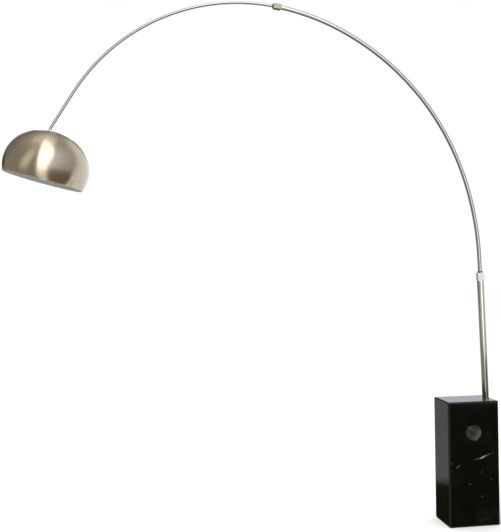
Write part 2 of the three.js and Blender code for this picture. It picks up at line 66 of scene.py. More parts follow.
class Graph:
    """A node tree with short calls for adding and joining its nodes."""

    def __init__(self, tree: bpy.types.NodeTree) -> None:
        """Empties the tree.

        Args:
            tree: the node tree of a material or a world.
        """
        self.tree = tree
        self.tree.nodes.clear()

    def add(self, kind: str, settings: dict | None = None, **inputs) -> bpy.types.Node:
        """Adds a node and fills in its sockets.

        Args:
            kind: the node's type name after "ShaderNode".
            settings: properties of the node itself.
            **inputs: a value or another node's output for each socket, with _ for a blank.

        Returns:
            The new node.
        """
        node = self.tree.nodes.new("ShaderNode" + kind)
        for name, value in (settings or {}).items():
            setattr(node, name, value)
        for name, value in inputs.items():
            key = int(name[1:]) if name[0] == "i" and name[1:].isdigit() else name.replace("_", " ")
            self.feed(node.inputs[key], value)
        return node

    def feed(self, socket: bpy.types.NodeSocket, value: object) -> None:
        """Sets a socket to a number or colour, or links another node's output to it."""
        if isinstance(value, bpy.types.NodeSocket):
            self.tree.links.new(value, socket)
        elif isinstance(value, tuple) and len(value) == 3 and socket.type == "RGBA":
            socket.default_value = (*value, 1.0)
        else:
            socket.default_value = value

    def math(self, operation: str, *values: object) -> bpy.types.NodeSocket:
        """A Math node's output for these one to three values."""
        node = self.add("Math", {"operation": operation})
        for socket, value in zip(node.inputs, values):
            self.feed(socket, value)
        return node.outputs[0]

    def product(self, first: object, *others: object) -> bpy.types.NodeSocket:
        """The product of two or more values."""
        for other in others:
            first = self.math("MULTIPLY", first, other)
        return first

    def mix(self, share: object, first: object, second: object) -> bpy.types.NodeSocket:
        """A colour between two, as a share says."""
        node = self.add("Mix", {"data_type": "RGBA"})
        self.feed(node.inputs[0], share)
        self.feed(node.inputs[6], first)
        self.feed(node.inputs[7], second)
        return node.outputs[2]

    def band(self, value: object, low: float, high: float, to_low: float = 0.0,
             to_high: float = 1.0) -> bpy.types.NodeSocket:
        """A value moved smoothly from one range to another and held at its ends."""
        node = self.add("MapRange", {"interpolation_type": "SMOOTHSTEP"}, Value=value, From_Min=low,
                        From_Max=high, To_Min=to_low, To_Max=to_high)
        return node.outputs[0]

    def fall(self, value: object, low: float, high: float) -> bpy.types.NodeSocket:
        """A value turned into 1 below a range and 0 above it, smoothly."""
        return self.band(value, low, high, 1.0, 0.0)

    def ramp(self, value: object, stops: Sequence[tuple[float, Colour]]) -> bpy.types.NodeSocket:
        """A colour ramp with stops at shares of its length."""
        node = self.add("ValToRGB", Fac=value)
        elements = node.color_ramp.elements
        elements[0].position, elements[0].color = stops[0][0], (*stops[0][1], 1)
        elements[1].position, elements[1].color = stops[-1][0], (*stops[-1][1], 1)
        for place, colour in stops[1:-1]:
            elements.new(place).color = (*colour, 1)
        return node.outputs[0]

    def place(self, location: Vector | tuple = (0, 0, 0), rotation: tuple = (0, 0, 0),
              scale: tuple = (1, 1, 1)) -> bpy.types.NodeSocket:
        """Object coordinates, moved, turned and stretched."""
        source = self.add("TexCoord").outputs["Object"]
        node = self.add("Mapping", {"vector_type": "TEXTURE"}, Vector=source,
                        Location=tuple(location), Rotation=rotation, Scale=scale)
        return node.outputs[0]

    def noise(self, vector: object, scale: float, detail: float = 3.0,
              roughness: float = 0.5) -> bpy.types.NodeSocket:
        """A noise texture's value."""
        node = self.add("TexNoise", Vector=vector, Scale=scale, Detail=detail, Roughness=roughness)
        return node.outputs[0]

    def bump(self, height: object, distance: float, strength: float = 1.0) -> bpy.types.NodeSocket:
        """A bump's normal, from a height of 0 to 1 and its real depth."""
        node = self.add("Bump", Height=height, Distance=distance, Strength=strength)
        return node.outputs[0]

    def surface(self, **inputs) -> bpy.types.Node:
        """The principled shader, joined to the output."""
        shader = self.add("BsdfPrincipled", **inputs)
        output = self.add("OutputMaterial")
        self.tree.links.new(shader.outputs[0], output.inputs[0])
        return shader


class Grain(Enum):
    """Which way a metal is brushed."""

    ALONG_POST = "along"
    ROUND_AXIS = "round"
    FINE = "fine"


@dataclass(frozen=True)
class Finish:
    """A finish: what every material here has."""

    name: str
    colour: Colour

    def material(self) -> bpy.types.Material:
        """The finish's material, made when it is first asked for."""
        made = bpy.data.materials.get(self.name)
        if made is None:
            made = bpy.data.materials.new(self.name)
            made.use_nodes = True
            self.paint(Graph(made.node_tree))
        return made

    def paint(self, graph: Graph) -> None:
        """Lays out the material's nodes."""
        raise NotImplementedError


@dataclass(frozen=True)
class BrushedMetal(Finish):
    """Metal with fine brush lines, faint clouding and a little unevenness in its gloss."""

    roughness: float = 0.25
    anisotropy: float = 0.0
    grain: Grain = Grain.FINE
    lean: float = 0.0
    tint: float = 0.12
    depth: float = 0.00001

    def paint(self, graph: Graph) -> None:
        """Brush lines as stretched noise, over clouds of slightly different tone."""
        stretch = {
            Grain.ALONG_POST: (0.004, 0.004, 0.6),
            Grain.ROUND_AXIS: (0.25, 0.25, 0.0012),
            Grain.FINE: (0.004, 0.004, 0.004),
        }[self.grain]
        lines = graph.noise(graph.place(rotation=(0, self.lean, 0), scale=stretch), 1.0, 4.0, 0.65)
        clouds = graph.noise(graph.place(), 14.0, 4.0)
        smears = graph.noise(graph.place(), 55.0, 3.0, 0.6)
        darker = tuple(part * (1 - self.tint) for part in self.colour)
        lighter = tuple(min(1.0, part * (1 + self.tint / 2)) for part in self.colour)
        tone = graph.mix(graph.band(lines, 0.25, 0.75), darker, lighter)
        tone = graph.mix(graph.band(clouds, 0.35, 0.75, 0.0, 0.2), tone, darker)
        uneven = graph.math("ADD", graph.product(lines, 0.08), graph.product(smears, 0.03))
        gloss = graph.math("ADD", uneven, self.roughness - 0.06)
        shader = graph.surface(Base_Color=tone, Metallic=1.0, Roughness=gloss,
                               Anisotropic=self.anisotropy, Normal=graph.bump(lines, self.depth))
        if self.anisotropy:
            axis = graph.add("CombineXYZ", X=math.sin(self.lean), Z=math.cos(self.lean))
            turned = graph.add("VectorTransform", {"vector_type": "VECTOR", "convert_from": "OBJECT",
                                                   "convert_to": "WORLD"}, Vector=axis.outputs[0])
            graph.feed(shader.inputs["Tangent"], turned.outputs[0])


@dataclass(frozen=True)
class Vein:
    """A pale streak in the stone, running mostly along X on the block's front."""

    x: float
    z: float
    half_length: float
    half_width: float
    slope: float
    strength: float = 1.0


@dataclass(frozen=True)
class Marble(Finish):
    """Polished near-black marble with sparse pale veins, faint clouds and specks."""

    veins: tuple[Vein, ...] = ()
    pale: Colour = (0.42, 0.41, 0.37)
    roughness: float = 0.01

    def streak(self, graph: Graph, vein: Vein) -> bpy.types.NodeSocket:
        """How strongly one vein shows at each point.

        Args:
            graph: the material's graph.
            vein: where the vein is and how it runs.

        Returns:
            A socket from 0, off the vein, to its strength.
        """
        wander = graph.noise(graph.place(), 22.0, 5.0, 0.6)
        place = graph.place(location=(vein.x, 0, vein.z), rotation=(0, -math.radians(vein.slope), 0))
        parts = graph.add("SeparateXYZ", Vector=place).outputs
        shift = graph.product(graph.math("SUBTRACT", wander, 0.5), 0.03)
        across = graph.math("ABSOLUTE", graph.math("ADD", parts[2], shift))
        along = graph.math("ABSOLUTE", parts[0])
        thin = graph.fall(across, vein.half_width * 0.2, vein.half_width)
        ends = graph.fall(along, vein.half_length * 0.4, vein.half_length)
        broken = graph.band(graph.noise(graph.place(), 95.0, 4.0, 0.7), 0.38, 0.62, 0.25, 1.0)
        return graph.product(thin, ends, broken, vein.strength)

    def crack(self, graph: Graph, scale: float, width: float, rarity: float) -> bpy.types.NodeSocket:
        """Thin winding lines all through the stone, shown only in places.

        Args:
            graph: the material's graph.
            scale: how many turns there are to a metre.
            width: how wide the lines are, as a share of the noise's range.
            rarity: the level that a second noise has to pass for the lines to show.

        Returns:
            A socket from 0 to 1.
        """
        winding = graph.noise(graph.place(rotation=(0.4, 0.9, 0.2)), scale, 6.0, 0.55)
        offset = graph.math("ABSOLUTE", graph.math("SUBTRACT", winding, 0.5))
        line = graph.fall(offset, 0.0, width)
        shown = graph.band(graph.noise(graph.place(), scale * 0.8, 2.0), rarity, rarity + 0.12)
        return graph.product(line, shown)

    def paint(self, graph: Graph) -> None:
        """Stone, clouds, veins and specks, under a polish."""
        clouds = graph.band(graph.noise(graph.place(), 9.0, 6.0, 0.6), 0.4, 0.75)
        olive = tuple(part * 3.0 for part in self.colour)
        stone = graph.mix(clouds, self.colour, olive)
        speck = graph.add("TexVoronoi", Vector=graph.place(), Scale=70.0).outputs["Distance"]
        spots = graph.product(graph.fall(speck, 0.04, 0.1),
                              graph.band(graph.noise(graph.place(), 30.0), 0.6, 0.7), 0.15)
        marks = graph.product(self.crack(graph, 5.0, 0.012, 0.6), 0.06)
        fine = graph.product(self.crack(graph, 17.0, 0.02, 0.6), 0.06)
        pale = graph.math("MAXIMUM", graph.math("MAXIMUM", marks, fine), spots)
        for vein in self.veins:
            pale = graph.math("MAXIMUM", pale, self.streak(graph, vein))
        colour = graph.mix(pale, stone, self.pale)
        wear = graph.noise(graph.place(), 40.0, 4.0)
        gloss = graph.math("ADD", graph.product(wear, 0.03), graph.product(pale, 0.08))
        graph.surface(Base_Color=colour, Roughness=graph.math("ADD", gloss, self.roughness), IOR=1.5,
                      Normal=graph.bump(pale, 0.00002, 0.4))


@dataclass(frozen=True)
class Moulded(Finish):
    """Plastic, rubber, felt or ceramic: a fine skin over a slightly clouded colour."""

    roughness: float = 0.5
    texture: float = 900.0
    depth: float = 0.00003
    sheen: float = 0.0

    def paint(self, graph: Graph) -> None:
        """A fine skin and clouding."""
        skin = graph.noise(graph.place(), self.texture, 3.0)
        clouds = graph.noise(graph.place(), 35.0, 4.0)
        darker = tuple(part * 0.9 for part in self.colour)
        gloss = graph.math("ADD", graph.product(clouds, 0.12), self.roughness - 0.06)
        graph.surface(Base_Color=graph.mix(graph.band(clouds, 0.3, 0.75), self.colour, darker),
                      Roughness=gloss, Sheen_Weight=self.sheen, Normal=graph.bump(skin, self.depth))


@dataclass(frozen=True)
class OpalGlass(Finish):
    """White opal glass, smooth and glossy, a little thinner and warmer in places."""

    def paint(self, graph: Graph) -> None:
        """A soft white body under a hard gloss."""
        clouds = graph.noise(graph.place(), 30.0, 3.0)
        warm = (self.colour[0], self.colour[1] * 0.97, self.colour[2] * 0.9)
        graph.surface(Base_Color=graph.mix(graph.band(clouds, 0.3, 0.8), self.colour, warm),
                      Roughness=graph.math("ADD", graph.product(clouds, 0.05), 0.1),
                      Coat_Weight=0.4, Coat_Roughness=0.04, Subsurface_Weight=0.3, Subsurface_Scale=0.01)


SHADE_LEAN = math.radians(15.2)
POST_LEAN = math.radians(1.85)
CAP_TILT = math.radians(8)

MARBLE = Marble(
    "black_marble", (0.0014, 0.0015, 0.0011),
    veins=(
        Vein(0.037, 0.306, 0.024, 0.0036, 14.0),
        Vein(0.044, 0.308, 0.06, 0.0022, 14.0, 0.25),
        Vein(-0.077, 0.271, 0.013, 0.0026, 30.0, 0.35),
        Vein(0.079, 0.204, 0.006, 0.002, 50.0, 0.3),
        Vein(-0.021, 0.187, 0.005, 0.002, 10.0, 0.25),
        Vein(0.035, 0.130, 0.006, 0.002, 70.0, 0.2),
    ))
HONED = Marble("honed_marble", (0.06, 0.062, 0.057), roughness=0.32)
TUBE_STEEL = BrushedMetal("satin_tube_steel", (0.5, 0.48, 0.475), 0.16)
POST_STEEL = BrushedMetal("satin_post_steel", (0.66, 0.63, 0.59), 0.2, 0.0, Grain.ALONG_POST, -POST_LEAN)
COLLAR_STEEL = BrushedMetal("pale_collar_steel", (0.93, 0.92, 0.89), 0.42)
# Painted shade and warm light: the same satin metal as the lower collar, made darker and warmer for the
# upper collar.
COLLAR_STEEL_PAINTED_SHADE = BrushedMetal("collar_steel_painted_shade", (0.4, 0.365, 0.275), 0.48)
SHADE_METAL = BrushedMetal("warm_spun_nickel", (0.66, 0.575, 0.44), 0.26, 0.85, Grain.ROUND_AXIS,
                           SHADE_LEAN)
CAP_METAL = BrushedMetal("pale_spun_nickel", (0.84, 0.8, 0.7), 0.24, 0.6, Grain.ROUND_AXIS, CAP_TILT)
# Painted shade: the bowl's white lacquer lining, darkened to the grey it shows in the shadow inside the
# bowl.
LINING_PAINTED_SHADE = Moulded("lining_painted_shade", (0.46, 0.46, 0.455), 0.35)
ENAMEL = Moulded("white_enamel", (0.88, 0.88, 0.86), 0.3)
ZINC = BrushedMetal("zinc_plate", (0.55, 0.56, 0.57), 0.36)
BRASS = BrushedMetal("pressed_brass", (0.66, 0.47, 0.19), 0.3)
BULB_METAL = BrushedMetal("bulb_base_metal", (0.62, 0.62, 0.63), 0.3)
RUBBER = Moulded("dark_rubber", (0.035, 0.034, 0.032), 0.6)
NYLON = Moulded("natural_nylon", (0.7, 0.68, 0.62), 0.45)
PHENOLIC = Moulded("black_phenolic", (0.012, 0.011, 0.01), 0.35)
CERAMIC = Moulded("glazed_ceramic", (0.78, 0.75, 0.68), 0.15)
FELT = Moulded("pressed_felt", (0.02, 0.02, 0.021), 0.95, 500.0, 0.0003, 0.15)
OPAL = OpalGlass("opal_glass", (0.86, 0.84, 0.79))


# ---- Modelling by operators ----------------------------------------------------


def apply_moves() -> None:
    """Applies what is selected's place, turn and scale to its mesh."""
    bpy.ops.object.transform_apply(location=True, rotation=True, scale=True)


class Bench:
    """The modelling operators, each acting on one piece at a time."""

    def __init__(self, name: str) -> None:
        """Clears the selection, so that the next operators act only on this piece.

        Args:
            name: the finished piece's name.
        """
        self.name = name
        self.leave_edit()
        bpy.ops.object.select_all(action="DESELECT")

    @staticmethod
    def leave_edit() -> None:
        """Goes back to object mode."""
        if bpy.context.object and bpy.context.object.mode != "OBJECT":
            bpy.ops.object.mode_set(mode="OBJECT")

    @property
    def piece(self) -> bpy.types.Object:
        """The object that is being worked on."""
        return bpy.context.view_layer.objects.active

    def edit(self) -> None:
        """Goes into edit mode with everything selected."""
        bpy.ops.object.mode_set(mode="EDIT")
        bpy.ops.mesh.select_mode(type="VERT")
        bpy.ops.mesh.select_all(action="SELECT")

    def point(self, x: float, z: float) -> None:
        """Starts an outline at a point of the plane y = 0."""
        bpy.ops.mesh.primitive_plane_add(size=0.001, location=(0, 0, 0))
        self.edit()
        bpy.ops.mesh.merge(type="CENTER")
        bpy.ops.transform.translate(value=(x, 0, z))

    def box(self, size: tuple, centre: tuple) -> None:
        """Adds a box of this size in x, y and z."""
        bpy.ops.mesh.primitive_cube_add(size=1, location=centre, scale=size)
        apply_moves()

    def ring(self, sides: int, radius: float, placement: Matrix) -> None:
        """Adds a ring of points, to be drawn out into a tube."""
        bpy.ops.mesh.primitive_circle_add(vertices=sides, radius=radius, fill_type="NOTHING")
        self.piece.matrix_world = placement
        apply_moves()
        self.edit()

    def lines(self, *steps: tuple[float, float]) -> None:
        """Draws the outline on by steps in x and z."""
        for x, z in steps:
            bpy.ops.mesh.extrude_region_move(TRANSFORM_OT_translate={"value": (x, 0, z)})

    def arc(self, x: float, z: float, angle: float, steps: int) -> None:
        """Turns what is selected about a centre in the plane y = 0.

        Args:
            x: the centre's x.
            z: the centre's z.
            angle: the turn in radians, positive from +X towards +Z.
            steps: how many segments it takes.
        """
        bpy.ops.mesh.spin(steps=steps, angle=angle, center=(x, 0, z), axis=(0, 1, 0))

    def revolve(self, steps: int = 96) -> None:
        """Spins the outline once round the Z axis and closes its seam and poles."""
        bpy.ops.mesh.select_all(action="SELECT")
        bpy.ops.mesh.spin(steps=steps, angle=2 * math.pi, center=(0, 0, 0), axis=(0, 0, 1))
        self.close_seams()

    def close_seams(self) -> None:
        """Merges doubles and turns the faces outwards."""
        bpy.ops.mesh.select_all(action="SELECT")
        bpy.ops.mesh.remove_doubles(threshold=CLOSE)
        bpy.ops.mesh.dissolve_degenerate(threshold=CLOSE)
        bpy.ops.mesh.select_all(action="SELECT")
        bpy.ops.mesh.normals_make_consistent(inside=False)

    def modify(self, kind: str, **settings) -> None:
        """Adds a modifier to the piece and applies it."""
        self.leave_edit()
        modifier = self.piece.modifiers.new(kind.lower(), kind)
        for name, value in settings.items():
            setattr(modifier, name, value)
        bpy.ops.object.modifier_apply(modifier=modifier.name)

    def wall(self, thickness: float, outside: Finish | None = None, lining: Finish | None = None) -> None:
        """Gives an open skin a wall inside it.

        Args:
            thickness: the wall's thickness.
            outside: the skin's own finish, where the wall has another one.
            lining: the wall's finish.
        """
        self.leave_edit()
        for look in (outside, lining):
            if look:
                self.piece.data.materials.append(look.material())
        self.modify("SOLIDIFY", thickness=thickness, offset=-1, use_even_offset=True,
                    material_offset=1 if lining else 0)

    def soften(self, width: float, segments: int = 2, angle: float = 32.0) -> None:
        """Rounds the sharp edges."""
        self.modify("BEVEL", width=width, segments=segments, limit_method="ANGLE",
                    angle_limit=math.radians(angle), use_clamp_overlap=True)

    def drill(self, cutter: bpy.types.Object) -> None:
        """Cuts another piece's shape away and removes the cutter."""
        self.modify("BOOLEAN", operation="DIFFERENCE", solver="EXACT", object=cutter)
        bpy.data.objects.remove(cutter, do_unlink=True)

    def finish(self, look: Finish, body: str, stands_for: str,
               placement: Matrix = Matrix(), smooth: float = 35.0,
               flat_sides: bool = False) -> bpy.types.Object:
        """Puts the piece in place, dresses it and joins it to its body.

        Args:
            look: the piece's finish.
            body: the body that it rides on.
            stands_for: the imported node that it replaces.
            placement: where the piece's own frame stands.
            smooth: faces that meet at less than this many degrees are shaded as one.
            flat_sides: large faces keep their own shading beside rounded edges.

        Returns:
            The finished piece.
        """
        self.leave_edit()
        piece = self.piece
        piece.matrix_world = placement @ piece.matrix_world
        bpy.ops.object.select_all(action="DESELECT")
        piece.select_set(True)
        apply_moves()
        bpy.ops.object.shade_smooth_by_angle(angle=math.radians(smooth))
        if flat_sides:
            self.modify("WEIGHTED_NORMAL", weight=100, keep_sharp=True)
        piece.name = self.name
        piece.data.name = self.name
        if not piece.data.materials:
            piece.data.materials.append(look.material())
        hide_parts(stands_for)
        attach(piece, body)
        LOG.info("%s: %d faces", self.name, len(piece.data.polygons))
        return piece


def cylinder(radius: float, bottom: float, top: float, sides: int = 48) -> bpy.types.Object:
    """A plain cylinder along Z, as a cutter.

    Args:
        radius: its radius.
        bottom: its lower end.
        top: its upper end.
        sides: how many sides it has.

    Returns:
        The cylinder, selected and active.
    """
    bpy.ops.object.select_all(action="DESELECT")
    bpy.ops.mesh.primitive_cylinder_add(
        vertices=sides, radius=radius, depth=top - bottom, location=(0, 0, (top + bottom) / 2))
    return bpy.context.object


def placed(cutter: bpy.types.Object, placement: Matrix) -> bpy.types.Object:
    """A cutter moved into place, with the move applied to its mesh."""
    cutter.matrix_world = placement @ cutter.matrix_world
    apply_moves()
    return cutter


# ---- The arm's centreline ------------------------------------------------------


@dataclass(frozen=True)
class Stretch:
    """A straight or evenly curved part of the arm, by its radius and turn, or by its length."""

    length: float
    turn: float = 0.0

    @classmethod
    def curve(cls, radius: float, degrees: float) -> Stretch:
        """A stretch that turns."""
        turn = math.radians(degrees)
        return cls(radius * turn, turn)


@dataclass
class ArmLine:
    """The arm's centreline, by distance from the block's top."""

    foot: Vector = field(default_factory=lambda: Vector((0.0965, 0, 0.55)))
    stretches: list[Stretch] = field(default_factory=list)

    def __post_init__(self) -> None:
        """Lays out the stretches, ending straight along the cap's axis."""
        arcs = [Stretch.curve(1.303, 17.44), Stretch.curve(1.1174, 47.43),
                Stretch.curve(0.9645, 18), Stretch.curve(0.8603, 63.21)]
        heading = math.radians(270) - CAP_TILT - math.pi / 2 - POST_LEAN
        bend = heading - sum(stretch.turn for stretch in arcs)
        self.stretches = [Stretch(0.625), *arcs, Stretch(0.1726), Stretch(0.03 * bend, bend),
                          Stretch(0.006)]

    @property
    def length(self) -> float:
        """The whole length."""
        return sum(stretch.length for stretch in self.stretches)

    @property
    def slide_start(self) -> float:
        """Where the arc begins that the outer arch slides along."""
        return sum(stretch.length for stretch in self.stretches[:3])

    def at(self, distance: float) -> tuple[Vector, float]:
        """The point at a distance, and the heading there in radians from +X towards +Z."""
        spot = self.foot.copy()
        heading = math.pi / 2 + POST_LEAN
        left = distance
        for stretch in self.stretches:
            run = min(left, stretch.length)
            turned = stretch.turn * run / stretch.length
            chord = 2 * stretch.length / stretch.turn * math.sin(turned / 2) if stretch.turn else run
            middle = heading + turned / 2
            spot += Vector((chord * math.cos(middle), 0, chord * math.sin(middle)))
            heading += turned
            left -= run
            if left <= 0:
                break
        return spot, heading

    def frame_at(self, distance: float) -> Matrix:
        """A frame on the arm whose Z runs along it and whose X points outside the bend."""
        spot, heading = self.at(distance)
        return Matrix.Translation(spot) @ Matrix.Rotation(math.pi / 2 - heading, 4, "Y")

    def tube(self, bench: Bench, radius: float, start: float, end: float, sides: int = 40) -> None:
        """Draws a tube's skin along the arm, a stretch at a time.

        Args:
            bench: the bench that the tube is made on.
            radius: the tube's outer radius.
            start: the distance where it begins.
            end: the distance where it ends.
            sides: how many sides it has.
        """
        bench.ring(sides, radius, self.frame_at(start))
        passed = 0.0
        for stretch in self.stretches:
            first = max(start, passed)
            last = min(end, passed + stretch.length)
            passed += stretch.length
            if last <= first:
                continue
            spot, heading = self.at(first)
            if stretch.turn == 0:
                step = self.at(last)[0] - spot
                bench.lines((step.x, step.z))
            else:
                reach = stretch.length / stretch.turn
                side = heading + math.pi / 2
                turn = (last - first) / reach
                bench.arc(spot.x + reach * math.cos(side), spot.z + reach * math.sin(side), turn,
                          max(4, math.ceil(math.degrees(turn) / 0.9)))
        bench.close_seams()


# ---- The lamp's sub-assemblies -------------------------------------------------


KEPT_NODES = {
    FELT: ("base_felt",),
    RUBBER: ("cable_grommet",),
    ZINC: ("anchor_stud", "anchor_washer", "anchor_spring_washer", "anchor_nut", "post_end_plug",
           "lower_collar_screw_1", "lower_collar_screw_2", "upper_collar_clamp_screw",
           "upper_collar_fixing_screw", "cap_washer", "lock_nut", "holder_stem"),
    NYLON: ("leg_foot_bush", "mouth_bush", "tail_bush"),
    CERAMIC: ("holder_core",),
    BRASS: ("holder_screw_shell", "holder_contact"),
}


def dress(frame: dict) -> None:
    """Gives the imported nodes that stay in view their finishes.
    """
    for look, names in KEPT_NODES.items():
        for name in names:
            node = frame["nodes"][name]
            node.data.materials.clear()
            node.data.materials.append(look.material())
            LOG.info("%s dressed as %s", name, look.name)


@dataclass
class StoneBase:
    """The marble block with its carrying hole, and the socket, recess and flex channel cut into it."""

    width: float = 0.235
    depth: float = 0.16
    bottom: float = 0.0023
    top: float = 0.55
    corner: float = 0.006
    edge: float = 0.003
    hole_radius: float = 0.034
    hole_height: float = 0.4135
    chamfer: float = 0.002
    socket_depth: float = 0.055
    socket_radius: float = 0.0153
    recess_radius: float = 0.014
    recess_height: float = 0.028
    channel: tuple[float, float] = (0.012, 0.014)

    def hole_cutter(self) -> bpy.types.Object:
        """The carrying hole's shape, which opens at both faces."""
        half = self.depth / 2
        bench = Bench("hole_cutter")
        wide = self.chamfer + 0.001
        bench.point(0, -half - 0.001)
        bench.lines((self.hole_radius + wide, 0), (-wide, wide), (0, self.depth - 2 * self.chamfer),
                    (wide, wide), (-self.hole_radius - wide, 0))
        bench.revolve(96)
        bench.leave_edit()
        turn = Matrix.Translation((0, 0, self.hole_height)) @ Matrix.Rotation(math.pi / 2, 4, "X")
        return placed(bench.piece, turn)

    def channel_cutter(self, x: float) -> bpy.types.Object:
        """The flex's channel from the recess to the back face, at an x."""
        width, height = self.channel
        bench = Bench("channel_cutter")
        bench.box((width, self.depth, 2 * height), (x, self.depth / 2, 0))
        return bench.piece

    def build(self, arm: ArmLine) -> None:
        """Makes the block and cuts its holes."""
        post_foot = arm.frame_at(0)
        socket_x = arm.foot.x + self.socket_depth * math.sin(POST_LEAN)
        recess = cylinder(self.recess_radius, -0.01, self.recess_height)
        placed(recess, Matrix.Translation((socket_x, 0, 0)))
        socket = placed(cylinder(self.socket_radius, -self.socket_depth, 0.01), post_foot)
        cutters = [recess, socket, self.channel_cutter(socket_x), self.hole_cutter()]
        bench = Bench("marble_block")
        height = self.top - self.bottom
        bench.box((self.width, self.depth, height), (0, 0, self.bottom + height / 2))
        self.round_edges(bench, lambda low, high: high > self.top - CLOSE, self.corner)
        self.round_edges(bench, lambda low, high: high < self.bottom + CLOSE, self.edge)
        for cutter in cutters:
            bench.drill(cutter)
        block = bench.finish(MARBLE, "base", "marble_base", flat_sides=True)
        self.hone_hole(block)

    @staticmethod
    def round_edges(bench: Bench, chosen: Callable[[float, float], bool], radius: float) -> None:
        """Rounds the block's edges whose lower and upper ends pass a test.

        Args:
            bench: the bench that the block stands on.
            chosen: the test, given an edge's lowest and highest z.
            radius: the rounding.
        """
        bench.edit()
        bpy.ops.mesh.select_all(action="DESELECT")
        bpy.ops.mesh.select_mode(type="EDGE")
        bench.leave_edit()
        mesh = bench.piece.data
        for edge in mesh.edges:
            heights = [mesh.vertices[corner].co.z for corner in edge.vertices]
            edge.select = chosen(min(heights), max(heights))
        bpy.ops.object.mode_set(mode="EDIT")
        bpy.ops.mesh.bevel(offset=radius, segments=5, profile=0.5)
        bench.leave_edit()

    def hone_hole(self, block: bpy.types.Object) -> None:
        """Gives the carrying hole's wall the honed finish that a drill leaves."""
        block.data.materials.append(HONED.material())
        axis = Vector((0, 0, self.hole_height))
        for face in block.data.polygons:
            away = face.center - axis
            inside = abs(face.center.y) < self.depth / 2 - self.chamfer
            if inside and math.hypot(away.x, away.z) < self.hole_radius + 0.0005:
                face.material_index = 1


@dataclass
class Post:
    """The steel post that stands in the block."""

    radius: float = 0.015
    wall: float = 0.002
    foot: float = 0.0547
    height: float = 0.5287

    def build(self, arm: ArmLine) -> None:
        """Makes the post."""
        bench = Bench("post_tube")
        bench.ring(96, self.radius, Matrix.Translation((0, 0, -self.foot)))
        bench.lines((0, self.foot + self.height))
        bench.close_seams()
        bench.wall(self.wall)
        bench.soften(0.0003, 2, 60)
        bench.finish(POST_STEEL, "base", "lower_post", arm.frame_at(0))


@dataclass
class ClampBlock:
    """A clamp collar: a satin block with rounded corners, bored for the tubes it joins."""

    name: str
    node: str
    body: str
    width: float
    depth: float
    bottom: float
    top: float
    bores: list[tuple[float, float, float]]
    screws: list[Matrix]
    screw_radius: float = 0.0026
    corner: float = 0.0018
    look: Finish = COLLAR_STEEL
    spigot: tuple[float, float] | None = None

    def add_spigot(self, bench: Bench, block: bpy.types.Object) -> None:
        """Joins the round spigot to the block's underside."""
        radius, length = self.spigot
        plug = cylinder(radius, -length, 0.002, 64)
        bpy.context.view_layer.objects.active = block
        bench.modify("BOOLEAN", operation="UNION", solver="EXACT", object=plug)
        bpy.data.objects.remove(plug, do_unlink=True)

    def build(self, placement: Matrix) -> None:
        """Makes the block, bores it and drills its screw holes."""
        bores = [cylinder(radius, low, high, 64) for radius, low, high in self.bores]
        holes = [placed(cylinder(self.screw_radius, 0, self.width, 32), turn) for turn in self.screws]
        bench = Bench(self.name)
        bench.box((self.width, self.depth, self.top - self.bottom),
                  (0, 0, (self.top + self.bottom) / 2))
        block = bench.piece
        bench.edit()
        bpy.ops.mesh.bevel(offset=self.corner, segments=4, profile=0.5)
        bench.leave_edit()
        if self.spigot:
            self.add_spigot(bench, block)
        for cutter in bores + holes:
            bench.drill(cutter)
        bench.finish(self.look, self.body, self.node, placement, flat_sides=True)


